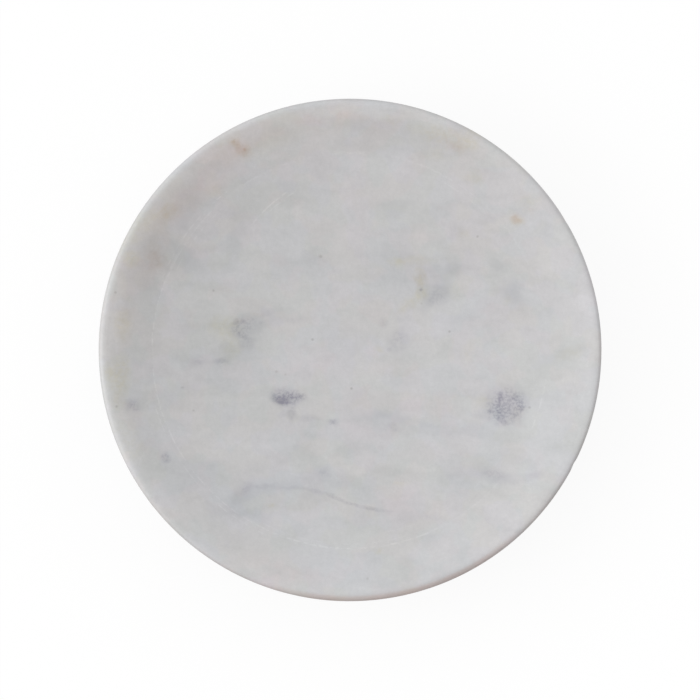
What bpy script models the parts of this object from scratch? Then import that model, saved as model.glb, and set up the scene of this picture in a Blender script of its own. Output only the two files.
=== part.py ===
"""Round marble soap dish: one turned stone with a shallow bowl, standing on four soft pads."""

import math

import bmesh
import bpy

# Overall sizes of the stone, in metres
dish_diameter = 0.120
stone_height = 0.018

# Bowl: a shallow floor, a cove up to the ring line, then a sloping border that eases over the shoulder and lip
floor_curve_radius = 0.236
cove_width = 0.0057
cove_end_slope = math.radians(16.5)
border_width = 0.0125
border_start_slope = math.radians(18.5)
border_end_slope = math.radians(24.8)
border_cove_width = 0.0058
shoulder_width = 0.0028
shoulder_end_slope = math.radians(17.5)
lip_radius = 0.0027

# Outer edge, side and underside of the stone
edge_radius = 0.0015
side_draft = math.radians(2.0)
base_edge_radius = 0.0030

# Soft pads under the stone, each held by a thin adhesive disc
pad_count = 4
first_pad_angle = math.radians(45.0)
pad_inset = 0.0170
pad_diameter = 0.0120
pad_height = 0.0020
pad_edge_radius = 0.0008
adhesive_margin = 0.0007
adhesive_thickness = 0.0004

# Clearance between neighbouring pieces, and the distance that closes a turned mesh
seat_gap = 0.0003
merge_distance = 0.000001

# How finely the round shapes are cut
stone_turn_steps = 96
pad_turn_steps = 48
floor_steps = 6
cove_steps = 4
border_steps = 3
shoulder_steps = 3
lip_steps = 3
edge_steps = 6
base_edge_steps = 4
pad_edge_steps = 3
smooth_angle = math.radians(30.0)

# Radii and heights that follow from the sizes above
dish_radius = dish_diameter / 2
ring_radius = dish_radius - border_width
floor_reach = ring_radius - cove_width
crest_radius = dish_radius - edge_radius
pad_circle_radius = dish_radius - pad_inset
adhesive_base = pad_height + seat_gap
stone_base = adhesive_base + adhesive_thickness + seat_gap


def clear_scene():
    for item in list(bpy.data.objects):
        bpy.data.objects.remove(item, do_unlink=True)


def make_material(name, colour, roughness):
    material = bpy.data.materials.new(name)
    material.use_nodes = True
    shader = material.node_tree.nodes["Principled BSDF"]
    shader.inputs["Base Color"].default_value = (*colour, 1.0)
    shader.inputs["Roughness"].default_value = roughness
    shader.inputs["Metallic"].default_value = 0.0
    return material


def add_arc(outline, from_angle, to_angle, radius, steps):
    """Carry the outline on along an arc, from one heading to another, in (radius, height)."""
    start_r, start_z = outline[-1]
    side = math.copysign(radius, to_angle - from_angle)
    for step in range(1, steps + 1):
        heading = from_angle + (to_angle - from_angle) * step / steps
        along = side * (math.sin(heading) - math.sin(from_angle))
        up = side * (math.cos(from_angle) - math.cos(heading))
        outline.append((start_r + along, start_z + up))


def add_arc_to_radius(outline, from_angle, to_angle, end_radius, steps):
    """The same, with the arc's radius worked out so that it ends at a given distance from the axis."""
    width = end_radius - outline[-1][0]
    add_arc(outline, from_angle, to_angle, width / (math.sin(to_angle) - math.sin(from_angle)), steps)


def add_straight(outline, heading, length):
    start_r, start_z = outline[-1]
    outline.append((start_r + length * math.cos(heading), start_z + length * math.sin(heading)))


def stone_outline():
    """Half section of the stone from the bowl's centre, over the rim, to the underside's centre."""
    floor_end_slope = math.asin(floor_reach / floor_curve_radius)
    outline = [(0.0, 0.0)]
    add_arc(outline, 0.0, floor_end_slope, floor_curve_radius, floor_steps)
    add_arc_to_radius(outline, floor_end_slope, cove_end_slope, ring_radius, cove_steps)
    border_cove_end = ring_radius + border_cove_width
    add_arc_to_radius(outline, border_start_slope, border_end_slope, border_cove_end, border_steps)
    lip_start = crest_radius - lip_radius * math.sin(shoulder_end_slope)
    straight_width = lip_start - shoulder_width - outline[-1][0]
    add_straight(outline, border_end_slope, straight_width / math.cos(border_end_slope))
    add_arc_to_radius(outline, border_end_slope, shoulder_end_slope, lip_start, shoulder_steps)
    add_arc(outline, shoulder_end_slope, 0.0, lip_radius, lip_steps)
    bowl_depth = outline[-1][1]

    side_heading = -math.pi / 2 - side_draft
    add_arc(outline, 0.0, side_heading, edge_radius, edge_steps)
    base_edge_drop = base_edge_radius * (1 - math.sin(side_draft))
    side_drop = outline[-1][1] - (bowl_depth - stone_height) - base_edge_drop
    add_straight(outline, side_heading, side_drop / math.cos(side_draft))
    add_arc(outline, side_heading, -math.pi, base_edge_radius, base_edge_steps)
    outline.append((0.0, outline[-1][1]))
    return [(r, z + stone_height - bowl_depth) for r, z in outline]


def pad_outline():
    """Half section of a pad: flat on top, with a rounded lower edge round its flat foot."""
    outline = [(0.0, pad_height), (pad_diameter / 2, pad_height), (pad_diameter / 2, pad_edge_radius)]
    add_arc(outline, -math.pi / 2, -math.pi, pad_edge_radius, pad_edge_steps)
    outline.append((0.0, 0.0))
    return outline


def adhesive_outline():
    radius = pad_diameter / 2 - adhesive_margin
    return [(0.0, adhesive_thickness), (radius, adhesive_thickness), (radius, 0.0), (0.0, 0.0)]


def turned_mesh(name, outline, turn_steps, material):
    """Turn a half section about the Z axis into one closed mesh."""
    work = bmesh.new()
    points = [work.verts.new((r, 0.0, z)) for r, z in outline]
    edges = [work.edges.new(pair) for pair in zip(points, points[1:])]
    bmesh.ops.spin(
        work, geom=points + edges, cent=(0.0, 0.0, 0.0), axis=(0.0, 0.0, 1.0),
        angle=math.tau, steps=turn_steps, use_merge=True,
    )
    bmesh.ops.remove_doubles(work, verts=work.verts, dist=merge_distance)
    bmesh.ops.recalc_face_normals(work, faces=work.faces)
    mesh = bpy.data.meshes.new(name)
    work.to_mesh(mesh)
    work.free()
    mesh.materials.append(material)
    mesh.shade_smooth()
    mesh.set_sharp_from_angle(angle=smooth_angle)
    return mesh


def place(name, mesh, location, parent):
    item = bpy.data.objects.new(name, mesh)
    item.location = location
    item.parent = parent
    bpy.context.scene.collection.objects.link(item)
    return item


def build_stone(parent):
    marble = make_material("marble", (0.57, 0.56, 0.565), 0.50)
    mesh = turned_mesh("marble_dish", stone_outline(), stone_turn_steps, marble)
    place("marble_dish", mesh, (0.0, 0.0, stone_base), parent)


def build_pads(parent):
    silicone = make_material("clear_silicone", (0.62, 0.64, 0.64), 0.35)
    acrylic = make_material("clear_adhesive", (0.72, 0.72, 0.68), 0.25)
    pad_mesh = turned_mesh("foot_pad", pad_outline(), pad_turn_steps, silicone)
    adhesive_mesh = turned_mesh("pad_adhesive", adhesive_outline(), pad_turn_steps, acrylic)
    for index in range(pad_count):
        angle = first_pad_angle + math.tau * index / pad_count
        x = pad_circle_radius * math.cos(angle)
        y = pad_circle_radius * math.sin(angle)
        place(f"foot_pad_{index + 1}", pad_mesh, (x, y, 0.0), parent)
        place(f"pad_adhesive_{index + 1}", adhesive_mesh, (x, y, adhesive_base), parent)


clear_scene()
soap_dish = place("soap_dish", None, (0.0, 0.0, 0.0), None)
build_stone(soap_dish)
build_pads(soap_dish)
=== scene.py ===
"""The looks of the round marble soap dish: a honed, softly clouded white stone on four clear pads."""

import math

import bpy
import numpy as np
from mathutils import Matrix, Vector, noise


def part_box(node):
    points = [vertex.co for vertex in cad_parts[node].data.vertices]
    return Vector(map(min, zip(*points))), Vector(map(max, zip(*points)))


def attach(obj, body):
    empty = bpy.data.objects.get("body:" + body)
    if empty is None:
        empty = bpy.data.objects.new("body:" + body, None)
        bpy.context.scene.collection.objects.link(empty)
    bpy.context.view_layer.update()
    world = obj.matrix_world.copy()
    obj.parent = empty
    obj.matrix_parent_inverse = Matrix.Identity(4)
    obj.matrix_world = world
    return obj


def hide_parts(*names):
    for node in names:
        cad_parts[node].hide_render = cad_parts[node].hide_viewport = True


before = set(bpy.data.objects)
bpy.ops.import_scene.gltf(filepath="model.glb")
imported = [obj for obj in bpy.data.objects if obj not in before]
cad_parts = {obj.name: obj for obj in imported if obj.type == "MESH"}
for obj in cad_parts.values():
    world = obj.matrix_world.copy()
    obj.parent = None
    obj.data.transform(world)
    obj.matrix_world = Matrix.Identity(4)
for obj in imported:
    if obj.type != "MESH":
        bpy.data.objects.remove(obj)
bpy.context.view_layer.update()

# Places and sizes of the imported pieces, in metres
stone_low, stone_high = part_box("marble_dish")
dish_radius = (stone_high.x - stone_low.x) / 2
stone_height = stone_high.z - stone_low.z
stone_base = stone_low.z
pad_count = 4

# The bowl's section
floor_curve_radius = 0.236
cove_width = 0.0057
cove_end_slope = math.radians(16.5)
border_width = 0.0125
border_start_slope = math.radians(18.5)
border_end_slope = math.radians(24.8)
border_cove_width = 0.0058
shoulder_width = 0.0034
shoulder_end_slope = math.radians(16.0)
lip_radius = 0.0033
side_draft = math.radians(2.0)
base_edge_radius = 0.0030
ring_radius = dish_radius - border_width
floor_reach = ring_radius - cove_width

# The outer edge is eased by hand, so its radius changes round the dish: (direction, spread, change)
drawn_edge_radius = 0.0015
usual_edge_radius = 0.00115
edge_changes = [
    (math.radians(282.0), math.radians(20.0), 0.00085),
    (math.radians(180.0), math.radians(22.0), 0.00022),
    (math.radians(0.0), math.radians(26.0), -0.00020),
    (math.radians(130.0), math.radians(18.0), -0.00015),
]

# The turned ring line is a fine groove that comes and goes round the dish and fades on one side
groove_depth = 0.00003
groove_half_width = 0.00022
groove_changes = 3.0
groove_usual_share = 0.5
groove_fade_share = 0.7
ring_faint_side = Vector((math.cos(math.radians(30.0)), math.sin(math.radians(30.0)), 0.0))

# Small chips in the edges: (direction, distance from the axis, height below the top, half width, depth)
chips = [
    (math.radians(149.6), 0.0592, 0.0003, 0.0005, 0.00022),
    (math.radians(219.3), 0.0588, 0.0002, 0.0007, 0.00016),
    (math.radians(31.0), 0.0594, 0.0004, 0.0009, 0.00012),
    (math.radians(333.0), 0.0597, 0.0013, 0.0011, 0.00020),
    (math.radians(262.0), 0.0582, 0.0170, 0.0013, 0.00030),
    (math.radians(76.0), 0.0588, 0.0158, 0.0011, 0.00022),
]
chip_reach = 3.0

# The outer side waves inward by up to this much
wave_height = 0.00003
wave_size = 0.012

# Pads and their adhesive
pad_edge_radius = 0.0008
pad_dimple_radius = 0.0026
pad_dimple_depth = 0.00012
pad_crease_angle = math.radians(40.0)
adhesive_bulge = 0.00006

# How finely the shapes are cut
turn_steps = 600
floor_steps = 44
cove_steps = 8
groove_steps = 8
border_steps = 10
straight_steps = 5
shoulder_steps = 8
lip_steps = 8
edge_steps = 12
side_steps = 14
base_edge_steps = 8
base_steps = 10
pad_turn_steps = 96
pad_straight_steps = 4
pad_edge_steps = 8
adhesive_edge_steps = 8

# The straight-down view: its width, the dish's middle and rim in pixels, its lens in millimetres
frame_pixels = 700.0
dish_pixel_x = 349.44
dish_pixel_y = 349.67
rim_radius_pixels = 251.4
lens_length = 100.0
sensor_width = 36.0
widest_height = stone_high.z - usual_edge_radius
eye_distance = dish_radius * frame_pixels / rim_radius_pixels * lens_length / sensor_width
eye_height = widest_height + eye_distance

# Looks; from here on lengths on the stone are in millimetres, heights from the ground up
millimetres_per_metre = 1000.0
rim_reach = dish_radius * millimetres_per_metre
stone_top = stone_high.z * millimetres_per_metre
marble_colour = (0.566, 0.564, 0.569, 1.0)

# Marks of the stone where they lie in the straight-down view, in its pixels:
# (x, y, half width, half height, strength, and a tilt in degrees where the mark has one)
grey_spots = [
    (506, 405, 28, 28, 0.7), (495, 412, 17, 15, 0.22, 20), (520, 403, 11, 15, 0.16),
    (286, 397, 22, 13, 0.8), (291, 413, 6, 13, 0.34), (243, 326, 21, 16, 0.42, 25),
    (238, 328, 12, 13, 0.18), (246, 342, 12, 12, 0.28, 30), (221, 360, 15, 6, 0.3, 8),
    (199, 359, 14, 8, 0.24, 20), (435, 297, 18, 15, 0.34, -10), (453, 267, 15, 13, 0.2, 40),
    (420, 282, 9, 15, 0.26), (383, 323, 9, 8, 0.26), (400, 334, 10, 10, 0.22),
    (397, 343, 16, 15, 0.26, -20), (309, 418, 16, 5, 0.24), (332, 421, 9, 5, 0.42),
    (372, 414, 22, 6, 0.12), (394, 427, 10, 6, 0.3, -15), (323, 473, 12, 11, 0.26, 40),
    (493, 474, 18, 7, 0.34, -10), (132, 405, 12, 9, 0.46, -20), (165, 457, 8, 8, 0.58),
    (186, 386, 20, 5, 0.16), (239, 494, 14, 12, 0.16, 60), (511, 295, 11, 14, 0.18),
    (183, 256, 14, 14, 0.12), (441, 283, 15, 10, 0.14, 20), (174, 250, 10, 16, 0.16, 20),
    (183, 222, 9, 10, 0.14), (166, 266, 7, 12, 0.12), (534, 474, 11, 4, 0.2, 8),
    (515, 475, 14, 3.5, 0.08), (302, 396, 8, 6, 0.25), (394, 417, 20, 8, 0.14, -10),
]
clumps = [
    (500, 396, 4.5, 7, 0.36, 15), (499, 403, 3.5, 5, 0.22), (514, 397, 6, 4.5, 0.22, 10),
    (520, 401, 4.5, 6, 0.14), (521, 408, 4, 4, 0.4), (509, 405, 5, 4, 0.14, 30),
    (490, 411, 4.5, 4, 0.32), (499, 411, 6, 3.5, 0.24, 10), (499, 418, 6, 4, 0.28, -20),
    (504, 422, 7, 4, 0.28, -10), (514, 415, 4.5, 4, 0.14, 30), (282, 400, 11, 7, 0.62),
    (273, 397, 6, 6, 0.26), (298, 396, 6, 4.6, 0.26), (291, 396, 6, 5, 0.24), (237, 322, 3.5, 3, 0.24),
    (244, 321, 3, 3.4, 0.24), (252, 318, 4, 2.6, 0.1, -20), (260, 322, 3.4, 3.4, 0.14),
    (238, 333, 3.6, 3, 0.2, 30), (244, 337, 4, 3, 0.16), (221, 360, 8, 4, 0.17),
    (198, 361, 6, 3.6, 0.15, -20), (420.7, 289.5, 2.4, 2.2, 0.5), (447, 290, 4, 5, 0.12),
    (389, 349, 3.4, 3, 0.18), (332, 421.3, 5, 3, 0.22), (322, 471, 4.5, 4, 0.14), (131, 404, 5, 4, 0.1),
    (236, 494, 5, 5, 0.05),
]
veins = [
    (246, 489, 11, 4.0, 0.24, 40), (262, 486, 18, 3.4, 0.22), (290, 487.5, 19, 3.4, 0.24),
    (314, 490, 16, 3.6, 0.3, -12), (333, 496, 16, 3.6, 0.36, -20), (350, 503, 15, 3.2, 0.4, -18),
    (370, 508, 17, 3.4, 0.42, -8), (386, 511, 10, 3.0, 0.22, -8), (545, 362, 26, 7.0, 0.06, 26),
    (574, 349, 22, 7.0, 0.08, 26), (395, 202, 36, 5.0, 0.14),
]
smoke = [
    (286, 398, 34, 20, 0.3), (290, 416, 11, 9, 0.4), (247, 328, 34, 24, 0.34, 20),
    (243, 345, 14, 11, 0.34), (221, 352, 22, 11, 0.36), (266, 313, 16, 10, 0.3, 20),
    (292, 322, 30, 7, 0.34), (507, 405, 36, 34, 0.3), (427, 269, 16, 13, 0.4), (452, 266, 18, 18, 0.26),
    (437, 290, 24, 20, 0.56, 10), (497, 262, 18, 12, 0.4), (470, 250, 26, 10, 0.26),
    (398, 340, 26, 20, 0.22), (381, 415, 34, 9, 0.42), (412, 425, 40, 9, 0.2),
    (488, 471, 40, 10, 0.5, -6), (504, 477, 18, 8, 0.36, -12), (533, 474, 26, 6, 0.46, 8),
    (318, 496, 26, 11, 0.4, -16), (240, 496, 24, 16, 0.48, 60), (252, 514, 24, 8, 0.26, -15),
    (320, 472, 18, 13, 0.3, 40), (163, 457, 14, 11, 0.26), (196, 360, 26, 9, 0.26),
    (186, 256, 20, 14, 0.1), (455, 428, 40, 10, 0.24), (513, 293, 17, 22, 0.3),
    (440, 240, 22, 14, 0.24), (460, 232, 15, 12, 0.34), (133, 404, 20, 14, 0.34),
    (272, 486, 44, 9, 0.34), (300, 481, 14, 12, 0.24, 30), (268, 325, 22, 6, 0.2),
    (424, 304, 18, 9, 0.44, 30), (120, 350, 14, 14, 0.16),
]
clouds = [
    (150, 264, 26, 34, 0.35), (165, 355, 50, 18, 0.45), (262, 312, 44, 18, 0.35, 20),
    (452, 262, 30, 30, 0.3), (395, 285, 26, 22, 0.4), (540, 305, 30, 20, 0.25),
    (560, 400, 26, 26, 0.35), (220, 285, 30, 14, 0.3), (195, 205, 26, 22, 0.35),
    (400, 262, 62, 34, 0.42), (420, 216, 56, 22, 0.34, 8), (386, 129, 46, 16, 0.4),
    (455, 143, 34, 20, 0.14, -20), (367, 147, 18, 16, 0.36), (474, 488, 66, 22, 0.45),
    (560, 358, 48, 22, 0.52, 26), (557, 443, 34, 16, 0.45, 10), (555, 492, 32, 24, 0.6, 30),
    (516, 250, 42, 26, 0.4, -10), (520, 305, 15, 28, 0.45), (520, 207, 24, 18, 0.3),
    (232, 251, 36, 12, 0.55, 55), (152, 300, 18, 46, 0.6), (305, 262, 34, 14, 0.4),
    (290, 182, 26, 18, 0.3, 20), (250, 213, 36, 26, 0.45), (290, 201, 20, 12, 0.36),
    (317, 165, 22, 14, 0.34), (192, 266, 42, 18, 0.45), (204, 325, 36, 30, 0.36),
    (400, 310, 26, 14, 0.34), (420, 522, 44, 22, 0.56), (353, 520, 24, 18, 0.5),
    (410, 538, 40, 14, 0.4), (350, 449, 34, 12, 0.4), (306, 450, 20, 44, 0.45),
    (200, 470, 38, 18, 0.55, -30), (222, 394, 50, 7, 0.34), (152, 394, 42, 22, 0.34),
    (410, 568, 24, 16, 0.6), (240, 345, 44, 26, 0.5, 25), (215, 372, 56, 16, 0.3),
    (168, 244, 40, 38, 0.4), (203, 244, 40, 36, 0.45), (180, 195, 30, 22, 0.2, 30),
    (436, 282, 34, 38, 0.3), (414, 300, 22, 16, 0.45, 30), (285, 487, 56, 14, 0.3),
    (243, 516, 40, 14, 0.35, -20), (345, 480, 60, 16, 0.35, -10), (233, 567, 36, 12, 0.35, -25),
    (420, 474, 100, 9, 0.34), (262, 502, 76, 20, 0.45), (490, 463, 40, 9, 0.3),
    (480, 420, 16, 18, 0.24), (508, 278, 34, 18, 0.22), (545, 280, 20, 16, 0.4),
    (482, 458, 24, 12, 0.36), (155, 372, 26, 12, 0.3), (154, 444, 24, 16, 0.44),
    (150, 266, 16, 18, 0.06), (114, 345, 12, 34, 0.2), (462, 268, 30, 12, 0.3, 20),
    (574, 380, 14, 20, 0.4), (185, 285, 20, 10, 0.3), (268, 325, 22, 8, 0.3), (225, 425, 20, 10, 0.14),
    (486, 403, 12, 10, 0.3), (488, 280, 26, 34, 0.3), (500, 330, 30, 16, 0.26),
    (240, 238, 22, 10, 0.2, 40), (565, 405, 20, 26, 0.24), (160, 372, 26, 12, 0.2),
    (494, 262, 14, 8, 0.3), (390, 119, 16, 7, 0.2, -10), (309, 118, 22, 7, 0.2, 10),
    (232, 146, 24, 7, 0.22, 30), (169, 199, 26, 7, 0.22, 50), (129, 269, 26, 7, 0.25, 70),
    (114, 350, 7, 26, 0.28), (186, 213, 24, 14, 0.3, 50), (167, 245, 14, 22, 0.15),
    (173, 446, 12, 13, 0.4), (214, 510, 16, 12, 0.25), (143, 402, 14, 20, 0.22),
    (421, 152, 20, 10, 0.28), (386, 148, 16, 8, 0.25), (330, 588, 40, 6, 0.25),
    (390, 583, 30, 6, 0.2, 10), (505, 535, 16, 6, 0.35, 40), (215, 389, 36, 5, 0.18),
    (170, 213, 12, 10, 0.15, 45), (177, 293, 12, 12, 0.22), (252, 240, 12, 10, 0.25),
    (262, 328, 14, 8, 0.34), (147, 377, 14, 10, 0.25), (205, 507, 16, 9, 0.25, 15),
    (457, 227, 14, 14, 0.3), (433, 270, 8, 14, 0.3), (433, 303, 14, 8, 0.3), (461, 290, 10, 10, 0.28),
    (492, 252, 10, 8, 0.25), (538, 263, 10, 8, 0.25), (525, 333, 10, 9, 0.28), (482, 352, 16, 9, 0.28),
    (557, 373, 10, 8, 0.28), (502, 384, 8, 7, 0.3), (478, 413, 9, 8, 0.3), (422, 162, 10, 10, 0.28),
    (270, 210, 8, 12, 0.22), (217, 270, 12, 8, 0.25), (413, 483, 18, 8, 0.3), (437, 500, 10, 8, 0.28),
    (378, 533, 16, 8, 0.28), (410, 577, 10, 7, 0.3), (337, 503, 8, 8, 0.28),
    (523, 520, 12, 8, 0.35, 45), (103, 337, 8, 16, 0.35), (453, 123, 14, 6, 0.28, -30),
]
rust = [
    (154, 258, 22, 24, 0.3), (168, 213, 26, 14, 0.14, 10), (158, 235, 20, 28, 0.16),
    (242, 149, 16, 14, 0.34, -30), (234, 143, 9, 7, 0.5), (475, 178, 13, 9, 0.12),
    (457, 146, 16, 9, 0.2, -20), (442, 134, 30, 11, 0.22, -10), (517, 219, 14, 9, 0.4, -20),
    (128, 288, 12, 40, 0.08, 6), (118, 385, 12, 26, 0.1), (170, 186, 44, 12, 0.1, 48),
    (215, 152, 46, 12, 0.22, 36), (257, 315, 10, 5, 0.24), (168, 211, 12, 9, 0.28, 30),
    (118, 400, 10, 12, 0.15),
]
ochre = [
    (224, 327, 24, 18, 0.44), (231, 346, 16, 16, 0.3, -20), (420, 276, 10, 14, 0.58),
    (421, 291, 10, 14, 0.52), (407, 304, 20, 9, 0.36, 38), (418, 260, 30, 8, 0.26),
    (396, 261, 13, 7, 0.44), (455, 290, 12, 14, 0.16), (463, 232, 12, 9, 0.2), (131, 259, 14, 12, 0.54),
    (484, 402, 12, 12, 0.22), (507, 300, 8, 8, 0.28), (378, 349, 7, 7, 0.36), (467, 353, 12, 16, 0.2),
    (378, 552, 6, 4, 0.4), (270, 505, 6, 4, 0.4), (448, 140, 34, 17, 0.3, -10), (422, 128, 28, 10, 0.2),
    (475, 178, 16, 11, 0.24), (118, 250, 12, 26, 0.24, -15), (119, 374, 15, 34, 0.52),
    (398, 483, 10, 5, 0.24), (572, 352, 26, 9, 0.24, 24), (340, 116, 90, 12, 0.14),
    (250, 150, 60, 14, 0.16, 25), (140, 225, 16, 34, 0.3, -30), (128, 440, 16, 40, 0.24, 20),
    (517, 220, 11, 7, 0.3), (168, 212, 24, 13, 0.26, 20), (118, 404, 12, 10, 0.2),
    (122, 324, 14, 24, 0.4), (214, 190, 14, 10, 0.24), (474, 131, 20, 9, 0.34, -20),
    (535, 200, 18, 12, 0.16), (470, 142, 14, 10, 0.34, -30), (436, 154, 24, 8, 0.2),
    (524, 203, 20, 12, 0.2, -50), (390, 119, 16, 7, 0.22, -10), (235, 144, 8, 6, 0.25),
    (108, 372, 7, 18, 0.35),
]
rust_cores = [
    (234, 143, 7, 6, 0.28), (242, 150, 10, 9, 0.4, -20), (243.5, 148.5, 2.4, 2.4, 0.5),
    (516, 219, 7, 5, 0.44, -20), (458, 146, 12, 6, 0.1), (420, 274, 4.5, 7, 0.06),
    (236, 321, 5, 5, 0.18), (156, 259, 14, 13, 0.26),
]
pink = [
    (470, 240, 50, 60, 0.2, 30), (352, 215, 26, 60, 0.3), (350, 362, 66, 30, 0.6),
    (446, 456, 40, 50, 0.1, 30), (350, 122, 80, 12, 0.3), (205, 185, 44, 18, 1.0, 42),
    (305, 373, 30, 14, 0.5), (424, 236, 24, 9, 0.5), (390, 368, 44, 12, 0.4), (400, 326, 90, 44, 0.5),
    (410, 505, 60, 30, 0.6), (237, 148, 20, 14, 0.9, 30), (172, 205, 60, 14, 0.55, 52),
    (517, 220, 16, 12, 0.5), (270, 562, 50, 18, 0.6), (196, 250, 26, 16, 0.4, -40),
    (505, 316, 36, 24, 0.24), (370, 430, 60, 14, 0.6), (420, 450, 60, 14, 0.5),
    (260, 262, 40, 10, 0.2, 30), (390, 402, 64, 16, 0.6), (285, 578, 60, 14, 0.9),
    (450, 415, 30, 14, 0.4), (430, 405, 44, 22, 0.4), (395, 505, 30, 14, 0.3), (150, 268, 14, 26, 0.45),
    (380, 470, 30, 20, 0.45), (468, 468, 34, 20, 0.55), (490, 300, 40, 14, 0.4, 45),
    (350, 330, 30, 22, 0.3), (349, 117, 28, 7, 0.9), (309, 120, 22, 8, 0.9, 10),
    (182, 209, 14, 16, 0.7, 50), (161, 241, 10, 18, 0.7), (178, 521, 24, 8, 0.6, -45),
    (456, 146, 14, 9, 0.8, -15), (516, 219, 8, 6, 0.8), (190, 200, 16, 12, 0.7, 45),
]
cool = [
    (250, 495, 90, 50, 0.9), (355, 345, 44, 34, 1.0), (450, 312, 50, 26, 1.0, 20),
    (480, 420, 70, 26, 0.9), (380, 430, 90, 18, 0.8), (210, 435, 50, 12, 0.5), (345, 562, 40, 34, 0.7),
    (350, 140, 40, 20, 0.5), (300, 478, 90, 20, 0.6), (470, 480, 70, 14, 0.8), (232, 530, 44, 26, 0.6),
    (400, 450, 40, 18, 0.6), (500, 470, 60, 14, 0.8), (300, 405, 34, 18, 0.5), (405, 350, 30, 16, 0.5),
    (270, 525, 40, 24, 0.5),
]
pale_and_highlight = [
    (323, 133, 50, 26, 0.9), (236, 443, 56, 22, 0.65), (166, 443, 26, 15, 0.45),
    (265, 452, 34, 16, 0.3), (303, 361, 58, 17, 0.55), (367, 363, 30, 26, 0.4),
    (343, 228, 22, 44, 0.45), (374, 166, 48, 18, 0.9, -8), (407, 150, 26, 12, 0.4),
    (400, 220, 26, 10, 0.35), (207, 526, 40, 16, 0.6, -40), (175, 500, 40, 14, 0.55, -55),
    (155, 492, 30, 16, 0.4, -60), (126, 450, 14, 60, 0.6, 10), (118, 330, 16, 50, 0.7),
    (290, 568, 66, 20, 0.3), (290, 495, 24, 12, 0.4), (346, 574, 44, 18, 0.45), (527, 412, 14, 20, 0.5),
    (500, 345, 40, 14, 0.4), (483, 311, 18, 12, 0.3), (248, 376, 34, 8, 0.4), (440, 330, 60, 14, 0.35),
    (423, 444, 30, 12, 0.3), (215, 232, 18, 12, 0.3, 50), (176, 172, 44, 12, 0.6, 42),
    (348, 118, 80, 14, 0.6), (262, 154, 40, 16, 0.6, 15), (165, 238, 14, 18, 0.3),
    (222, 175, 34, 16, 0.4, 30), (352, 278, 24, 30, 0.55), (368, 344, 46, 14, 0.5),
    (530, 226, 20, 14, 0.3), (560, 235, 16, 26, 0.4, -20), (392, 516, 22, 9, 0.4),
    (432, 126, 34, 14, 0.7, -20), (310, 214, 34, 12, 0.4), (352, 112, 60, 12, 0.7),
    (208, 168, 20, 12, 0.5, 40), (238, 148, 20, 12, 0.6, 30), (262, 444, 34, 16, 0.45),
    # The first mark on the next line, on the right lip, is a painted highlight, not paler stone
    (590, 312, 14, 44, 0.85), (200, 570, 24, 8, 0.3, -40), (517, 219, 16, 10, 0.55),
    (350, 182, 40, 10, 0.35), (583, 272, 18, 6, 0.6, -75), (178, 520, 22, 6, 0.4, -45),
    (190, 537, 16, 8, 0.45, -45), (257, 427, 14, 10, 0.25), (297, 197, 12, 8, 0.3),
    (328, 337, 12, 12, 0.28), (357, 357, 12, 10, 0.22), (197, 480, 18, 10, 0.28),
    (390, 467, 12, 8, 0.26), (473, 517, 14, 7, 0.24, -15), (470, 557, 16, 7, 0.3, 30),
    (397, 338, 12, 8, 0.3),
]
specks = [
    (213, 290, 1.9, 1.9, 0.8), (312, 339, 2.0, 2.0, 0.8), (351, 388, 1.9, 1.9, 0.9),
    (449, 331, 1.9, 1.9, 0.8), (320, 256, 2.8, 2.4, 0.6), (477, 236, 2.0, 2.0, 0.7),
    (115, 292, 1.9, 1.9, 0.7), (116, 406, 1.9, 1.9, 0.7), (529, 407, 2.2, 1.8, 0.7),
    (276, 371, 2.4, 1.9, 0.5), (285, 374, 1.9, 1.8, 0.4), (193, 410, 1.8, 1.8, 0.5),
    (182, 387, 2.6, 1.8, 0.4), (367, 578, 2.0, 1.8, 0.5), (421, 303, 1.8, 1.8, 0.4),
]

# A mark is full in its core and fades outward, reaches into the stone, and has its tilt in steps
usual_core_share = 0.15
spot_core_share = 0.25
vein_core_share = 0.1
small_core_share = 0.2
least_depth = 2.0
tilt_step = 10
broad_tilt_step = 15

# Rounds that settle where a line of sight meets the bowl
sight_rounds = 5

# Marks of the outer side: (direction in degrees, height, half width, half height, strength)
side_spots = [
    (12, 12.5, 3.2, 2.4, 0.55), (22, 7.0, 2.0, 1.4, 0.35), (41, 14.0, 2.4, 1.6, 0.3),
    (58, 11.5, 5.0, 3.4, 0.66), (78, 7.5, 3.8, 1.4, 0.34), (96, 12.5, 2.8, 3.0, 0.52),
    (117, 8.5, 4.6, 1.8, 0.44), (139, 12.0, 3.2, 2.0, 0.4), (158, 7.0, 2.4, 1.4, 0.36),
    (171, 11.0, 5.2, 2.8, 0.56), (196, 7.5, 3.0, 2.0, 0.5), (214, 12.5, 4.6, 1.6, 0.32),
    (236, 9.0, 3.4, 3.4, 0.6), (252, 14, 5, 1.4, 0.3), (268, 8.0, 2.6, 1.8, 0.34),
    (281, 12.0, 4.2, 2.6, 0.5), (296, 6.5, 3.6, 1.4, 0.4), (309, 12, 3, 1.6, 0.3),
    (318, 8.5, 5.5, 3.2, 0.62), (335, 13.5, 2.2, 2.6, 0.45), (351, 9.0, 4.5, 1.3, 0.3),
]
side_stains = [
    (64, 9.5, 6.0, 3.4, 0.5), (150, 9.0, 7.0, 4.0, 0.45), (230, 11, 5, 4.0, 0.5),
    (306, 13, 8, 3.0, 0.4), (2, 11.5, 4.0, 3.0, 0.4),
]

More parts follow.
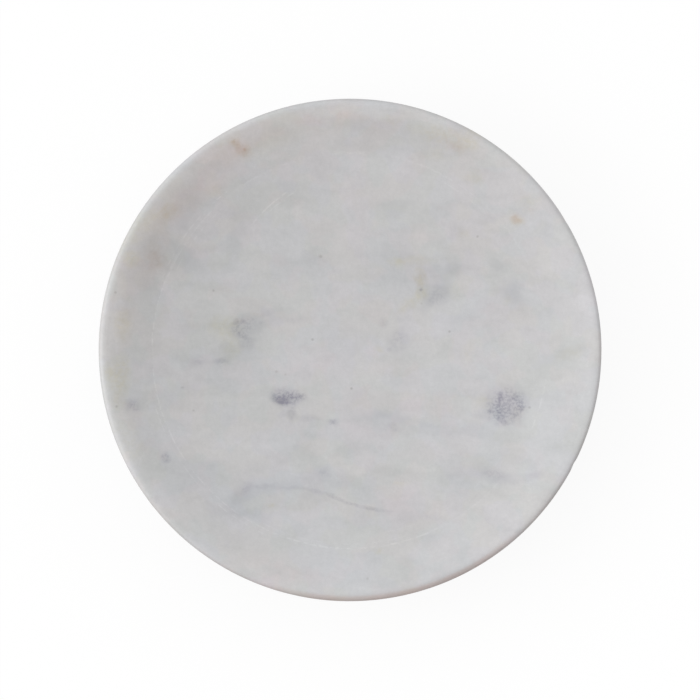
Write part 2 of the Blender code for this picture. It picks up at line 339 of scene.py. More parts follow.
# Lighter tool marks that follow the turning, some drifting outward as they go round:
# (radius, half width, direction, half angle, strength, and a drift where the mark has one)
tool_marks = [
    (47.55, 0.26, 215, 60, 1.0), (47.55, 0.26, 180, 20, 0.4), (47.45, 0.26, 160, 20, 0.5),
    (48.6, 0.22, 208, 14, 0.8), (48.7, 0.22, 236, 12, 0.8), (46.6, 0.2, 262, 34, 0.6),
    (47.75, 0.24, 277, 20, 0.7), (47.6, 0.24, 289, 10, 0.6), (47.55, 0.26, 268, 18, 0.6),
    (47.75, 0.26, 315, 16, 0.4), (47.55, 0.26, 346, 10, 1.2), (47.55, 0.3, 40, 34, 0.45),
    (47.25, 0.36, 105, 24, 0.5), (47.6, 0.5, 77, 20, 0.5), (39.15, 0.3, 117, 9, 1.2, -9.3),
    (39.8, 0.3, 119.4, 9.0, 1.2, -9.3), (45.9, 0.22, 144, 14, 0.7), (47.1, 0.22, 146, 16, 0.8),
    (48.2, 0.24, 143, 18, 0.9), (54.2, 0.26, 348, 8, 0.5), (44.6, 0.26, 300, 26, 0.35),
    (46.2, 0.24, 55, 9, 0.7),
]

# Tints that the marks multiply the stone by at full strength
spot_tint = (0.50, 0.495, 0.575, 1.0)
smoke_tint = (0.845, 0.850, 0.878, 1.0)
cloud_tint = (0.887, 0.895, 0.894, 1.0)
rust_tint = (0.905, 0.845, 0.775, 1.0)
ochre_tint = (0.970, 0.935, 0.790, 1.0)
pink_tint = (1.020, 0.980, 0.985, 1.0)
rust_core_tint = (0.84, 0.70, 0.60, 1.0)
cool_tint = (0.992, 0.998, 1.010, 1.0)
# Painted warm reflection on one side of the rim's inner wall and lip
warm_reflection_tint = (1.014, 0.985, 0.953, 1.0)
# Painted warm shade on the outer edge of the dim side
warm_shade_tint = (0.955, 0.880, 0.840, 1.0)
# Painted shade along the outer arris, strongest on the dim side
arris_shade_tint = (0.860, 0.845, 0.835, 1.0)
pale_and_highlight_tint = (1.055, 1.060, 1.068, 1.0)
speck_tint = (0.72, 0.71, 0.70, 1.0)
mark_tint = (1.10, 1.10, 1.10, 1.0)
# Painted highlight on the crest of the rim
crest_highlight_tint = (1.034, 1.034, 1.034, 1.0)

# Warps that give soft shapes natural edges: (changes for each millimetre, reach), detail, roughness
soft_warp = (0.13, 6.0)
fine_warp = (0.55, 1.9)
ragged_warp = (1.3, 0.7)
layer_warp = (0.06, 12.0)
warp_finish = (2.0, 0.5)
noise_middle = 0.5
layer_stretch = (1.0, 1.0, 1.9)
streak_stretch = (0.33, 1.0, 0.8)
streak_tilt = -4

# Noises of the stone: (changes for each millimetre, detail, roughness)
streak_noise = (0.36, 2.0, 0.45)
drift_noise = (0.07, 2.0, 0.5)
stain_noise = (0.9, 2.0, 0.6)
crystal_noise = (1.6, 2.0, 0.65)
gap_noise = (0.60, 3.0, 0.7)
wear_noise = (0.16, 2.0, 0.5)
bank_noise = (0.055, 3.0, 0.55)
ridge_noise = (0.040, 2.0, 0.5)
grain_noise = (0.80, 4.0, 0.95)
tint_noise = (0.12, 2.0, 0.5)
polish_noise = (0.6, 4.0, 0.6)
lathe_noise = (2.6, 3.0, 0.7)
pit_noise = (3.0, 3.0, 0.75)

# What the noises turn into: (from, to, result at from, result at to)
streak_change = (0.35, 0.75, -0.12, 0.33)
drift_change = (0.30, 0.70, -0.10, 0.36)
stain_change = (0.32, 0.68, 0.6, 1.4)
crystal_change = (0.42, 0.60)
gap_change = (0.42, 0.58)
wear_change = (0.30, 0.48, 0.25, 1.0)
bank_change = (0.42, 0.68, 0.0, 0.9)
ridge_change = (0.024, 0.0)
side_vein_change = (0.38, 0.62, 0.0, 0.45)
grain_change = (0.30, 0.70, 0.945, 1.055)
polish_change = (0.3, 0.7, 0.44, 0.56)

# How far the crystals break up a spot and a vein, and how the lathe's lines weigh against the pits
spot_crystal_share = 0.58
spot_body_share = 0.27
vein_body_share = 0.45
lathe_share = 0.35

# The tint's gain, its offset, and the most and least it may give, in red, green and blue
tint_gain = (0.50, 0.02, 0.44)
tint_offset = (0.7500, 0.990, 0.7800)
tint_most = (1.011, 1.004, 1.012)
tint_least = (0.990, 0.996, 0.989)

# How far the crest lies inward from the outer edge, and where its painted highlight starts and is full
# on either side
crest_inset = 2.1
crest_highlight_band = (3.3, 0.6)

# Bands of the rim, as distances inward from the outer edge; all but the side band place painted
# reflection or shade
warm_reflection_start = (10.0, 5.5)
warm_reflection_end = (0.8, 2.4)
warm_shade_band = (1.8, 0.9)
arris_shade_band = (0.8, 0.2)
side_band = (2.5, 0.8)

# Bands by height, as distances below the stone's top and above its base; the first places the painted
# arris shade
arris_shade_drop = (3.0, 1.5)
side_drop = (1.0, 4.0)
base_rise = (3.0, 1.5)

# Sides of the dish that the painted warm reflection and warm shade keep to, and how squarely a place has
# to face them; the arris shade follows the side of the warm shade
warm_reflection_side = math.radians(132.0)
warm_reflection_facing = (0.55, 0.95, 0.0, 0.6)
warm_shade_side = math.radians(283.0)
warm_shade_facing = (0.82, 0.97)
arris_shade_facing = (0.2, 0.85, 0.35, 1.0)

# Relief of the finished surfaces, in metres
bump_distance = 0.00003
stone_bump_strength = 0.25
rubber_bump_strength = 0.3
film_bump_strength = 0.4

# Clear silicone
rubber_hazy_tone = (0.76, 0.78, 0.78, 1.0)
rubber_clear_tone = (0.86, 0.88, 0.875, 1.0)
rubber_dust_tone = (0.45, 0.45, 0.44, 1.0)
rubber_dust_share = 0.5
rubber_transmission = 0.45
rubber_refraction = 1.41
haze_noise = (0.5, 3.0, 0.6)
haze_change = (0.35, 0.65)
haze_roughness = (0.3, 0.7, 0.28, 0.42)
dust_noise = (3.2, 2.0, 0.5)
dust_change = (0.70, 0.76)
skin_noise = (6.0, 3.0, 0.6)

# Clear adhesive
film_tone = (0.72, 0.72, 0.68, 1.0)
film_bubble_tone = (0.80, 0.80, 0.78, 1.0)
film_transmission = 0.3
bubble_scale = 0.9
bubble_change = (0.16, 0.24, 1.0, 0.0)
bubble_roughness = (0.0, 1.0, 0.30, 0.15)

# Studio floor
white = (1.0, 1.0, 1.0, 1.0)
floor_half_width = 3.0
floor_roughness = 0.9
paper_noise = (300.0, 3.0, 0.6)
paper_dark_tone = (0.595, 0.595, 0.595, 1.0)
paper_light_tone = (0.605, 0.605, 0.605, 1.0)
seen_paper_tone = (0.95, 0.95, 0.95, 1.0)

# The floor has less glow under and near the dish, a painted shade there that also lets the dish's shadow
# show: (shares of the radius, of the glow)
floor_glow_and_shade_shares = [
    ((0.90, 1.02), (0.62, 0.90)),
    ((1.02, 1.8), (0.0, 0.09)),
]

# Studio room: (azimuth, elevation) of its dim side and of the low warm board, and their tones
room_tone = (0.93, 0.93, 0.93, 1.0)
dim_side = (math.radians(-62.0), math.radians(5.0))
dim_reach = (0.35, 1.0)
dim_tone = (0.12, 0.105, 0.10, 1.0)
board_side = (math.radians(-78.0), 0.0)
board_reach = (0.55, 0.95)
board_height = (0.30, 0.10)
board_tone = (0.55, 0.10, 0.02, 1.0)

# Softbox
softbox_side = (math.radians(186.0), math.radians(26.0))
softbox_distance = 1.2
softbox_size = 0.8
softbox_power = 5.3


def add_arc(outline, from_angle, to_angle, radius, steps):
    """Carry the outline on along an arc, from one heading to another, in (radius, height)."""
    start_r, start_z = outline[-1]
    side = math.copysign(radius, to_angle - from_angle)
    for step in range(1, steps + 1):
        heading = from_angle + (to_angle - from_angle) * step / steps
        along = side * (math.sin(heading) - math.sin(from_angle))
        up = side * (math.cos(from_angle) - math.cos(heading))
        outline.append((start_r + along, start_z + up))


def add_arc_to_radius(outline, from_angle, to_angle, end_radius, steps):
    """The same, with the arc's radius worked out so that it ends at a given distance from the axis."""
    width = end_radius - outline[-1][0]
    add_arc(outline, from_angle, to_angle, width / (math.sin(to_angle) - math.sin(from_angle)), steps)


def add_straight(outline, heading, length, steps):
    start_r, start_z = outline[-1]
    for step in range(1, steps + 1):
        run = length * step / steps
        outline.append((start_r + run * math.cos(heading), start_z + run * math.sin(heading)))


def ease(value):
    """A smooth step from 0 to 1."""
    share = min(max(value, 0.0), 1.0)
    return share * share * (3 - 2 * share)


def bowl_outline(edge_radius, groove=0.0):
    """Half section of the bowl from its centre to the crest of the rim."""
    floor_end_slope = math.asin(floor_reach / floor_curve_radius)
    outline = [(0.0, 0.0)]
    add_arc(outline, 0.0, floor_end_slope, floor_curve_radius, floor_steps)
    groove_start = ring_radius - groove_half_width
    add_arc_to_radius(outline, floor_end_slope, cove_end_slope, groove_start, cove_steps)
    groove_rise = math.tan((cove_end_slope + border_start_slope) / 2)
    groove_r, groove_z = outline[-1]
    for step in range(1, groove_steps + 1):
        across = 2 * groove_half_width * step / groove_steps
        dip = groove * math.sin(math.pi * step / groove_steps) ** 2
        outline.append((groove_r + across, groove_z + across * groove_rise - dip))
    border_cove_end = ring_radius + border_cove_width
    add_arc_to_radius(outline, border_start_slope, border_end_slope, border_cove_end, border_steps)
    crest_radius = dish_radius - edge_radius
    lip_start = crest_radius - lip_radius * math.sin(shoulder_end_slope)
    straight_width = lip_start - shoulder_width - outline[-1][0]
    add_straight(outline, border_end_slope, straight_width / math.cos(border_end_slope), straight_steps)
    add_arc_to_radius(outline, border_end_slope, shoulder_end_slope, lip_start, shoulder_steps)
    add_arc(outline, shoulder_end_slope, 0.0, lip_radius, lip_steps)
    return outline


def stone_outline(edge_radius, groove=0.0):
    """The bowl with its crest at the stone's top, carried on round the outside to the base's centre."""
    bowl = bowl_outline(edge_radius, groove)
    rise = bowl[-1][1] - bowl_depth
    wall = bowl[-1][0] - ring_radius
    outline = [(r, z - rise * ease((r - ring_radius) / wall)) for r, z in bowl]
    side_heading = -math.pi / 2 - side_draft
    add_arc(outline, 0.0, side_heading, edge_radius, edge_steps)
    base_edge_drop = base_edge_radius * (1 - math.sin(side_draft))
    straight_drop = outline[-1][1] - (bowl_depth - stone_height) - base_edge_drop
    add_straight(outline, side_heading, straight_drop / math.cos(side_draft), side_steps)
    add_arc(outline, side_heading, -math.pi, base_edge_radius, base_edge_steps)
    add_straight(outline, -math.pi, outline[-1][0], base_steps)
    lift = stone_base + stone_height - bowl_depth
    return [(r, z + lift) for r, z in outline]


def edge_radius_at(angle):
    radius = usual_edge_radius
    for direction, spread, change in edge_changes:
        away = math.remainder(angle - direction, math.tau) / spread
        radius += change * math.exp(-away * away / 2)
    return radius


def turned_mesh(name, outlines):
    """A closed mesh turned about the Z axis from one half section for each direction."""
    steps = len(outlines)
    sections = np.array(outlines)
    angles = np.arange(steps) * math.tau / steps
    rings = sections[:, 1:-1]
    across = rings[:, :, 0] * np.cos(angles)[:, None]
    deep = rings[:, :, 0] * np.sin(angles)[:, None]
    points = np.stack([across, deep, rings[:, :, 1]], axis=-1)
    points = points.transpose(1, 0, 2).reshape(-1, 3).tolist()
    first = len(points)
    points += [(0.0, 0.0, outlines[0][0][1]), (0.0, 0.0, outlines[0][-1][1])]
    count = rings.shape[1]
    faces = []
    for step in range(steps):
        after = (step + 1) % steps
        faces.append((first, step, after))
        for ring in range(count - 1):
            here, there = ring * steps, (ring + 1) * steps
            faces.append((here + step, there + step, there + after, here + after))
        last = (count - 1) * steps
        faces.append((first + 1, last + after, last + step))
    mesh = bpy.data.meshes.new(name)
    mesh.from_pydata(points, [], faces)
    mesh.update()
    mesh.shade_smooth()
    return mesh


def wear_stone(mesh):
    """Press the chips into the edges, and let the outer side wave very slightly."""
    top = stone_base + stone_height
    dents = []
    for direction, radius, below, half_width, depth in chips:
        centre = Vector((radius * math.cos(direction), radius * math.sin(direction), top - below))
        dents.append((centre, half_width, depth))
    side_start = ring_radius + border_cove_width
    for vertex in mesh.vertices:
        out = math.hypot(vertex.co.x, vertex.co.y)
        if out < side_start:
            continue
        wave = wave_height * (noise.noise(vertex.co / wave_size) - 1) / 2
        below, above = top - vertex.co.z, vertex.co.z - stone_base
        pull = -wave * ease(below / wave_size) * ease(above / wave_size)
        for centre, half_width, depth in dents:
            away = (vertex.co - centre).length / half_width
            if away < chip_reach:
                pull += depth * math.exp(-away * away)
        inward = Vector((-vertex.co.x, -vertex.co.y, 0.0)) / out
        vertex.co += inward * pull


class Tree:
    """Short calls for building the nodes of one material or world."""

    def __init__(self, block, shader_name="Principled BSDF"):
        block.use_nodes = True
        self.block = block
        self.nodes = block.node_tree.nodes
        self.links = block.node_tree.links
        self.shader = self.nodes[shader_name]
        self.mirrored = {}

    def feed(self, socket, value):
        if isinstance(value, bpy.types.NodeSocket):
            self.links.new(value, socket)
        elif value is not None:
            socket.default_value = value

    def set(self, name, value):
        self.feed(self.shader.inputs[name], value)

    def add(self, kind, inputs=(), **settings):
        node = self.nodes.new("ShaderNode" + kind)
        for key, value in settings.items():
            setattr(node, key, value)
        for key, value in dict(inputs).items():
            self.feed(node.inputs[key], value)
        return node

    def place(self):
        """The place on the object, in millimetres."""
        here = self.add("TexCoord").outputs["Object"]
        return self.vector("SCALE", here, scale=millimetres_per_metre)

    def math(self, operation, first, second=None, third=None, clamp=False):
        node = self.add("Math", operation=operation, use_clamp=clamp)
        for socket, value in zip(node.inputs, (first, second, third)):
            self.feed(socket, value)
        return node.outputs[0]

    def vector(self, operation, first, second=None, third=None, scale=None):
        node = self.add("VectorMath", operation=operation)
        for socket, value in zip(node.inputs, (first, second, third)):
            self.feed(socket, value)
        if scale is not None:
            self.feed(node.inputs["Scale"], scale)
        gives_value = operation in ("LENGTH", "DOT_PRODUCT")
        return node.outputs["Value" if gives_value else "Vector"]

    def range(self, value, low, high, start=0.0, end=1.0, smooth=True):
        """How far the value has come from low to high, as a way from start to end."""
        kind = "SMOOTHSTEP" if smooth else "LINEAR"
        node = self.add("MapRange", {
            "Value": value, "From Min": low, "From Max": high, "To Min": start, "To Max": end,
        }, interpolation_type=kind, clamp=not smooth)
        return node.outputs[0]

    def noise(self, place, scale, detail, roughness, colour=False):
        node = self.add("TexNoise", {
            "Vector": place, "Scale": scale, "Detail": detail, "Roughness": roughness,
        })
        return node.outputs["Color" if colour else "Fac"]

    def mix(self, kind, amount, first, second):
        node = self.add("Mix", data_type="RGBA", blend_type=kind)
        node.clamp_factor = True
        colours = [socket for socket in node.inputs if socket.type == "RGBA"]
        factor = [socket for socket in node.inputs if socket.type == "VALUE"][0]
        self.feed(factor, amount)
        self.feed(colours[0], first)
        self.feed(colours[1], second)
        return [socket for socket in node.outputs if socket.type == "RGBA"][0]

    def tinted(self, colour, amount, tint):
        return self.mix("MULTIPLY", amount, colour, tint)

    def product(self, first, *others):
        for other in others:
            first = self.math("MULTIPLY", first, other)
        return first

    def total(self, masks):
        first, *others = masks
        for other in others:
            first = self.math("ADD", first, other)
        return first

    def bump(self, height, strength):
        node = self.add("Bump", {
            "Strength": strength, "Distance": bump_distance, "Height": height,
        })
        self.set("Normal", node.outputs[0])

    def warped(self, place, scale, reach):
        """The place pushed about by a noise, so that soft shapes get natural edges."""
        push = self.noise(place, scale, *warp_finish, colour=True)
        centred = self.vector("SUBTRACT", push, [noise_middle] * 3)
        moved = self.vector("SCALE", centred, scale=reach)
        return self.vector("ADD", place, moved)

    def along(self, place, tilt):
        """The place mirrored so that the tilt lies along X, shared by all marks of the same tilt."""
        key = (place.node.name, tilt)
        if tilt and key not in self.mirrored:
            self.mirrored[key] = self.vector("REFLECT", place, mirror_normal(tilt))
        return self.mirrored[key] if tilt else place

    def marks(self, place, rows, core=usual_core_share, step=tilt_step):
        """The sum of soft ellipsoids at the stone's surface, added up tilt by tilt."""
        by_tilt = {}
        for x, y, half_width, half_height, strength, *tilts in rows:
            tilt = round(sum(tilts) / step) * step
            centre, pixel = stone_place(x, y)
            if tilt:
                centre = centre.reflect(mirror_normal(tilt))
            half_sizes = (half_width * pixel, half_height * pixel)
            half_sizes += (max(*half_sizes, least_depth),)
            by_tilt.setdefault(tilt, []).append((centre, half_sizes, strength))
        totals = []
        for tilt in sorted(by_tilt, key=abs):
            turned = self.along(place, tilt)
            totals.append(self.total([self.mark(turned, *row, core) for row in by_tilt[tilt]]))
        return self.total(totals)

    def mark(self, place, centre, half_sizes, strength, core):
        share = Vector([1 / size for size in half_sizes])
        inside = self.vector("MULTIPLY_ADD", place, share, -centre * share)
        return self.range(self.vector("LENGTH", inside), 1.0, core, 0.0, strength)

    def side_marks(self, place, rows):
        """The same for the outer side, with the places given by direction and height."""
        masks = []
        for side, height, half_width, half_height, strength in rows:
            centre = heading_of(math.radians(side)) * rim_reach + Vector((0.0, 0.0, height))
            half_sizes = (half_width, half_width, half_height)
            masks.append(self.mark(place, centre, half_sizes, strength, small_core_share))
        return self.total(masks)


def heading_of(angle):
    return Vector((math.cos(angle), math.sin(angle), 0.0))


def mirror_normal(tilt):
    return heading_of(math.radians(tilt / 2))


def surface_height(radius):
    """The bowl's height in millimetres at a distance from the axis, also in millimetres."""
    for (r0, z0), (r1, z1) in zip(section_heights, section_heights[1:]):
        if r0 <= radius <= r1:
            return z0 + (z1 - z0) * (radius - r0) / (r1 - r0)
    return section_heights[-1][1]


def stone_place(x, y):
    """Where a pixel of the straight-down view meets the stone, and its width there, in millimetres."""
    sight = Vector((x - dish_pixel_x, dish_pixel_y - y, 0.0))
    height = stone_top
    for _ in range(sight_rounds):
        below_eye = eye_height * millimetres_per_metre - height
        pixel = below_eye * sensor_width / lens_length / frame_pixels
        height = surface_height(sight.length * pixel)
    return sight * pixel + Vector((0.0, 0.0, height)), pixel


def from_rim(band):
    """A band's two distances from the axis."""
    return [rim_reach - inset for inset in band]


def below_top(band):
    return [stone_top - drop for drop in band]


def above_base(band):
    return [stone_base * millimetres_per_metre + rise for rise in band]


def marble():
    tree = Tree(bpy.data.materials.new("marble"))
    place = tree.place()
    soft = tree.warped(place, *soft_warp)
    fine = tree.warped(place, *fine_warp)
    colour, streaks = broad_tones(tree, soft)
    colour = mineral_tints(tree, colour, place, soft, fine)
    colour, share = grey_crystals(tree, colour, place, fine)
    flat = tree.vector("MULTIPLY", place, (1.0, 1.0, 0.0))
    out = tree.vector("LENGTH", flat)
    heading = tree.vector("NORMALIZE", flat)
    height = tree.add("SeparateXYZ", {"Vector": place}).outputs["Z"]
    colour = turning_marks(tree, colour, place, out, heading)
    colour = painted_rim_light(tree, colour, out, heading, height)
    colour = outside_tones(tree, colour, place, fine, out, height, streaks, share)
    tree.set("Base Color", crystal_grain(tree, colour, place))
    polish = tree.noise(soft, *polish_noise)
    tree.set("Roughness", tree.range(polish, *polish_change))
    turning = tree.add("CombineXYZ", {"X": out}).outputs[0]
    lines = tree.noise(turning, *lathe_noise)
    pits = tree.noise(place, *pit_noise)
    tree.bump(tree.math("MULTIPLY_ADD", lines, lathe_share, pits), stone_bump_strength)
    return tree.block


def broad_tones(tree, soft):
    grey = tree.marks(soft, clouds, step=broad_tilt_step)
    streak_place = tree.vector("MULTIPLY", tree.along(soft, streak_tilt), streak_stretch)
    streaks = tree.noise(streak_place, *streak_noise)
    drift = tree.noise(soft, *drift_noise)
    grey = tree.math("ADD", grey, tree.range(streaks, *streak_change))
    grey = tree.math("ADD", grey, tree.range(drift, *drift_change))
    # Paler stone, with one painted highlight on the right lip
    colour = tree.tinted(marble_colour, tree.marks(soft, pale_and_highlight, step=broad_tilt_step), pale_and_highlight_tint)
    colour = tree.tinted(colour, grey, cloud_tint)
    colour = tree.tinted(colour, tree.marks(soft, smoke), smoke_tint)
    return colour, streaks


def mineral_tints(tree, colour, place, soft, fine):
    colour = tree.tinted(colour, tree.marks(soft, pink, step=broad_tilt_step), pink_tint)
    colour = tree.tinted(colour, tree.marks(soft, cool, step=broad_tilt_step), cool_tint)
    stain_grain = tree.range(tree.noise(place, *stain_noise), *stain_change)
    rusty = tree.product(tree.marks(fine, rust), stain_grain)
    colour = tree.tinted(colour, rusty, rust_tint)
    yellow = tree.product(tree.marks(fine, ochre), stain_grain)
    colour = tree.tinted(colour, yellow, ochre_tint)
    return tree.tinted(colour, tree.marks(fine, rust_cores), rust_core_tint)


def grey_crystals(tree, colour, place, fine):
    """Grey crystals in clusters and along the veins, and the share of a spot's tint that they give."""
    crystals = tree.range(tree.noise(place, *crystal_noise), *crystal_change)
    share = tree.math("MULTIPLY_ADD", crystals, spot_crystal_share, spot_body_share)
    spotted = tree.product(tree.marks(fine, grey_spots, spot_core_share), share)
    vein_share = tree.range(crystals, 0.0, 1.0, vein_body_share, 1.0)
    lined = tree.product(tree.marks(fine, veins, vein_core_share), vein_share)
    spotted = tree.math("ADD", spotted, lined)
    ragged = tree.warped(place, *ragged_warp)
    spotted = tree.math("ADD", spotted, tree.marks(ragged, clumps, small_core_share), clamp=True)
    colour = tree.tinted(colour, spotted, spot_tint)
    colour = tree.tinted(colour, tree.marks(place, specks, small_core_share), speck_tint)
    return colour, share


def turning_marks(tree, colour, place, out, heading):
    """Light marks of the turning tool, broken by gaps and worn in places."""
    gaps = tree.range(tree.noise(place, *gap_noise), *gap_change)
    wear = tree.range(tree.noise(place, *wear_noise), *wear_change)
    broken = tree.product(gaps, wear)
    arcs = []
    for radius, half_width, side, half_angle, strength, *drifts in tool_marks:
        towards = heading_of(math.radians(side))
        near = math.cos(math.radians(half_angle))
        within = tree.range(tree.vector("DOT_PRODUCT", heading, towards), near, (1 + near) / 2)
        for drift in drifts:
            sideways = tree.vector("DOT_PRODUCT", heading, Vector((-towards.y, towards.x, 0.0)))
            radius = tree.math("MULTIPLY_ADD", sideways, drift, radius)
        off = tree.math("ABSOLUTE", tree.math("SUBTRACT", out, radius))
        arcs.append(tree.product(tree.range(off, half_width, 0.0, 0.0, strength), within))
    return tree.tinted(colour, tree.product(tree.total(arcs), broken), mark_tint)


def painted_rim_light(tree, colour, out, heading, height):
    """Painted light and shade on the rim: a lighter crest, a warm reflection on one side, warm shade on
    the lower edge and shade on the outer arris.
    """
    # Painted highlight along the crest
    off_crest = tree.math("ABSOLUTE", tree.math("SUBTRACT", out, rim_reach - crest_inset))
    colour = tree.tinted(colour, tree.range(off_crest, *crest_highlight_band), crest_highlight_tint)
    # Painted warm reflection on the inner wall and lip of one side
    facing = tree.vector("DOT_PRODUCT", heading, heading_of(warm_reflection_side))
    start = tree.range(out, *from_rim(warm_reflection_start))
    end = tree.range(out, *from_rim(warm_reflection_end))
    warm = tree.product(tree.range(facing, *warm_reflection_facing), start, end)
    colour = tree.tinted(colour, warm, warm_reflection_tint)
    # Painted warm shade on the outer edge of the dim side
    facing = tree.vector("DOT_PRODUCT", heading, heading_of(warm_shade_side))
    edge = tree.product(
        tree.range(facing, *warm_shade_facing), tree.range(out, *from_rim(warm_shade_band)),
    )
    colour = tree.tinted(colour, edge, warm_shade_tint)
    # Painted shade along the outer arris, strongest on the dim side
    arris = tree.product(
        tree.range(out, *from_rim(arris_shade_band)),
        tree.range(height, *below_top(arris_shade_drop)),
        tree.range(facing, *arris_shade_facing),
    )
    return tree.tinted(colour, arris, arris_shade_tint)


def outside_tones(tree, colour, place, fine, out, height, streaks, share):
    """Clouds, veins, spots and stains of the side and the underside."""
    on_side = tree.product(
        tree.range(height, *below_top(side_drop)), tree.range(out, *from_rim(side_band)),
    )
    outside = tree.math("MAXIMUM", on_side, tree.range(height, *above_base(base_rise)))
    layers = tree.vector("MULTIPLY", tree.warped(place, *layer_warp), layer_stretch)
    bank = tree.range(tree.noise(layers, *bank_noise), *bank_change)
    colour = tree.tinted(colour, tree.product(bank, outside), cloud_tint)
    ridge = tree.math("SUBTRACT", tree.noise(layers, *ridge_noise), noise_middle)
    vein = tree.range(tree.math("ABSOLUTE", ridge), *ridge_change)
    vein = tree.product(vein, tree.range(streaks, *side_vein_change), outside)
    vein = tree.math("ADD", vein, tree.side_marks(fine, side_spots))
    colour = tree.tinted(colour, tree.product(vein, share), spot_tint)
    return tree.tinted(colour, tree.side_marks(fine, side_stains), ochre_tint)


def crystal_grain(tree, colour, place):
    """Lift and tint the crystals one by one."""
    lift = tree.range(tree.noise(place, *grain_noise), *grain_change, smooth=False)
    tint = tree.noise(place, *tint_noise, colour=True)
    tint = tree.vector("MULTIPLY_ADD", tint, tint_gain, tint_offset)
    tint = tree.vector("MINIMUM", tint, tint_most)
    tint = tree.vector("MAXIMUM", tint, tint_least)
    return tree.vector("SCALE", tree.tinted(colour, 1.0, tint), scale=lift)


def add_piece(name, mesh, node):
    piece = bpy.data.objects.new(name, mesh)
    bpy.context.scene.collection.objects.link(piece)
    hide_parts(node)
    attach(piece, "root")


def build_stone():
    material = marble()
    outlines = []
    for step in range(turn_steps):
        angle = math.tau * step / turn_steps
        heading = heading_of(angle)
        groove = groove_depth * ease(groove_usual_share + noise.noise(heading * groove_changes))
        groove *= ease(groove_fade_share - heading.dot(ring_faint_side))
        outlines.append(stone_outline(edge_radius_at(angle), groove))
    mesh = turned_mesh("marble_stone", outlines)
    wear_stone(mesh)
    mesh.materials.append(material)
    add_piece("marble_stone", mesh, "marble_dish")


def silicone():
    """Clear soft rubber with a faint haze, a few trapped specks and a mould's fine skin."""
    tree = Tree(bpy.data.materials.new("clear_silicone"))
    place = tree.place()
    haze = tree.noise(place, *haze_noise)
    colour = tree.mix("MIX", tree.range(haze, *haze_change), rubber_hazy_tone, rubber_clear_tone)
    dust = tree.range(tree.noise(place, *dust_noise), *dust_change)
    colour = tree.mix("MIX", tree.product(dust, rubber_dust_share), colour, rubber_dust_tone)
    tree.set("Base Color", colour)
    tree.set("Roughness", tree.range(haze, *haze_roughness))
    tree.set("Transmission Weight", rubber_transmission)
    tree.set("IOR", rubber_refraction)
    tree.bump(tree.noise(place, *skin_noise), rubber_bump_strength)
    return tree.block


def adhesive():
    """A clear acrylic film with small flat bubbles."""
    tree = Tree(bpy.data.materials.new("clear_adhesive"))
    cells = tree.add("TexVoronoi", {"Vector": tree.place(), "Scale": bubble_scale})
    bubbles = tree.range(cells.outputs["Distance"], *bubble_change)
    tree.set("Base Color", tree.mix("MIX", bubbles, film_tone, film_bubble_tone))
    tree.set("Roughness", tree.range(bubbles, *bubble_roughness))
    tree.set("Transmission Weight", film_transmission)
    tree.bump(bubbles, film_bump_strength)
    return tree.block


def pad_outline(low, high, radius):
    """Flat on top, rounded round its foot, with a shallow moulded dimple in the middle of the foot."""
    outline = [(0.0, high - low)]
    add_straight(outline, 0.0, radius, pad_straight_steps)
    add_straight(outline, -math.pi / 2, high - low - pad_edge_radius, pad_straight_steps)
    add_arc(outline, -math.pi / 2, -math.pi, pad_edge_radius, pad_edge_steps)
    add_straight(outline, -math.pi, outline[-1][0] - pad_dimple_radius, pad_straight_steps)
    for step in range(1, pad_edge_steps + 1):
        share = step / pad_edge_steps
        outline.append((pad_dimple_radius * (1 - share), pad_dimple_depth * ease(share * 2)))
    return [(r, z + low) for r, z in outline]


def adhesive_outline(low, high, radius):
    """A thin disc whose cut edge bulges slightly."""
    cut_radius = radius - 2 * adhesive_bulge
    middle = (low + high) / 2
    outline = [(0.0, high), (cut_radius, high)]
    for step in range(1, adhesive_edge_steps):
        angle = math.pi / 2 - math.pi * step / adhesive_edge_steps
        out = cut_radius + 2 * adhesive_bulge * math.cos(angle)
        outline.append((out, middle + (high - middle) * math.sin(angle)))
    outline += [(cut_radius, low), (0.0, low)]
    return outline


def build_pads():
    rubber, film = silicone(), adhesive()
    for index in range(1, pad_count + 1):
        for kind, node, outline, material, slot in (
            ("silicone_pad", "foot_pad", pad_outline, rubber, "clear_silicone"),
            ("adhesive_disc", "pad_adhesive", adhesive_outline, film, "clear_adhesive"),
        ):
            low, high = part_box(f"{node}_{index}")
            half_section = outline(low.z, high.z, (high.x - low.x) / 2)
            mesh = turned_mesh(f"{kind}_{index}", [half_section] * pad_turn_steps)
            mesh.set_sharp_from_angle(angle=pad_crease_angle)
            middle = Vector(((low.x + high.x) / 2, (low.y + high.y) / 2, 0.0))
            for vertex in mesh.vertices:
                vertex.co += middle
            mesh.materials.append(material)
            add_piece(f"{kind}_{index}", mesh, f"{node}_{index}")


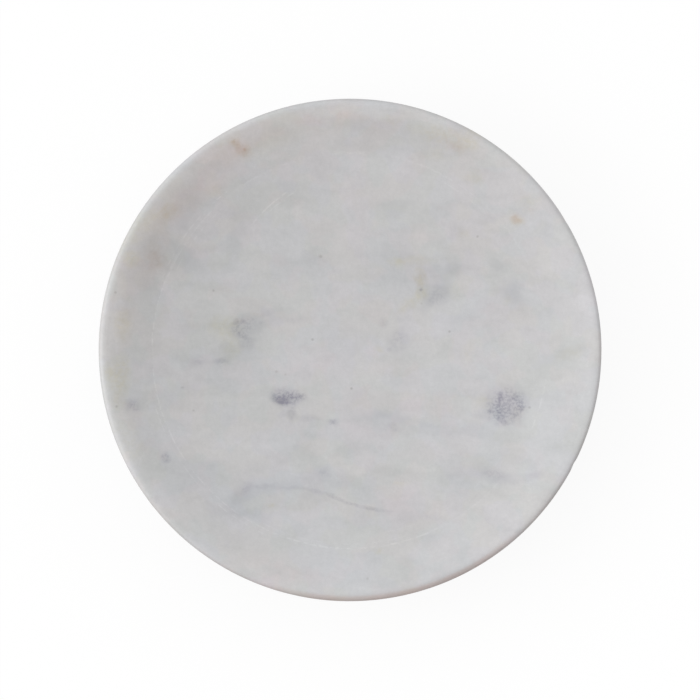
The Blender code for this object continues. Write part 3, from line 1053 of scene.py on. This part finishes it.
def build_floor():
    half = floor_half_width
    mesh = bpy.data.meshes.new("studio_floor")
    corners = [(-half, -half, 0.0), (half, -half, 0.0), (half, half, 0.0), (-half, half, 0.0)]
    mesh.from_pydata(corners, [], [(0, 1, 2, 3)])
    tree = Tree(bpy.data.materials.new("studio_floor"))
    here = tree.add("TexCoord").outputs["Object"]
    tone = tree.mix("MIX", tree.noise(here, *paper_noise), paper_dark_tone, paper_light_tone)
    seen = seen_share(tree)
    tree.set("Base Color", tree.mix("MIX", seen, tone, seen_paper_tone))
    tree.set("Roughness", floor_roughness)
    out = tree.vector("LENGTH", here)
    # Painted shade: the glow is weaker under and near the dish, so the floor is darker there
    glows = []
    for reach_shares, glow_shares in floor_glow_and_shade_shares:
        glows.append(tree.range(out, *[dish_radius * share for share in reach_shares], *glow_shares))
    glow = tree.add("Emission", {"Color": white, "Strength": 1.0})
    blend = tree.add("MixShader")
    tree.feed(blend.inputs[0], tree.product(seen, tree.total(glows)))
    tree.feed(blend.inputs[1], tree.shader.outputs[0])
    tree.feed(blend.inputs[2], glow.outputs[0])
    tree.feed(tree.nodes["Material Output"].inputs["Surface"], blend.outputs[0])
    mesh.materials.append(tree.block)
    floor = bpy.data.objects.new("studio_floor", mesh)
    bpy.context.scene.collection.objects.link(floor)


def seen_share(tree):
    """1 where the camera sees the surface, straight on, in a reflection or through something clear."""
    path = tree.add("LightPath")
    seen = tree.math("MAXIMUM", path.outputs["Is Camera Ray"], path.outputs["Is Transmission Ray"])
    return tree.math("MAXIMUM", seen, path.outputs["Is Glossy Ray"])


def direction(azimuth, elevation):
    return heading_of(azimuth) * math.cos(elevation) + Vector((0.0, 0.0, math.sin(elevation)))


def build_room():
    world = bpy.data.worlds.new("studio")
    tree = Tree(world, "Background")
    ahead = tree.add("TexCoord").outputs["Generated"]
    dim = tree.vector("DOT_PRODUCT", ahead, direction(*dim_side))
    room = tree.mix("MIX", tree.range(dim, *dim_reach), room_tone, dim_tone)
    height = tree.add("SeparateXYZ", {"Vector": ahead}).outputs["Z"]
    board = tree.vector("DOT_PRODUCT", ahead, direction(*board_side))
    board = tree.product(tree.range(height, *board_height), tree.range(board, *board_reach))
    room = tree.mix("MIX", board, room, board_tone)
    tree.set("Color", tree.mix("MIX", seen_share(tree), room, white))
    tree.set("Strength", 1.0)
    bpy.context.scene.world = world


def build_softbox():
    lamp = bpy.data.lights.new("side_softbox", "AREA")
    lamp.shape = "SQUARE"
    lamp.size = softbox_size
    lamp.energy = softbox_power
    towards = direction(*softbox_side)
    light = bpy.data.objects.new("side_softbox", lamp)
    light.location = towards * softbox_distance
    light.rotation_mode = "QUATERNION"
    light.rotation_quaternion = (-towards).to_track_quat("-Z", "Y")
    bpy.context.scene.collection.objects.link(light)


def build_camera():
    """A camera straight above, shifted so that the dish's middle falls on its own pixel."""
    camera = bpy.data.cameras.new("overhead")
    camera.sensor_width = sensor_width
    camera.lens = lens_length
    item = bpy.data.objects.new("overhead", camera)
    item.location = (0.0, 0.0, eye_height)
    middle_pixel = (frame_pixels - 1) / 2
    camera.shift_x = (middle_pixel - dish_pixel_x) / frame_pixels
    camera.shift_y = (dish_pixel_y - middle_pixel) / frame_pixels
    bpy.context.scene.collection.objects.link(item)
    bpy.context.scene.camera = item


bowl_depth = bowl_outline(drawn_edge_radius)[-1][1]
usual_section = stone_outline(usual_edge_radius)
crest_place = max(range(len(usual_section)), key=lambda item: usual_section[item][1])
section_heights = [
    (r * millimetres_per_metre, z * millimetres_per_metre) for r, z in usual_section[:crest_place + 1]
]
build_stone()
build_pads()
build_floor()
build_room()
build_softbox()
build_camera()
bpy.context.scene.view_settings.view_transform = "Standard"
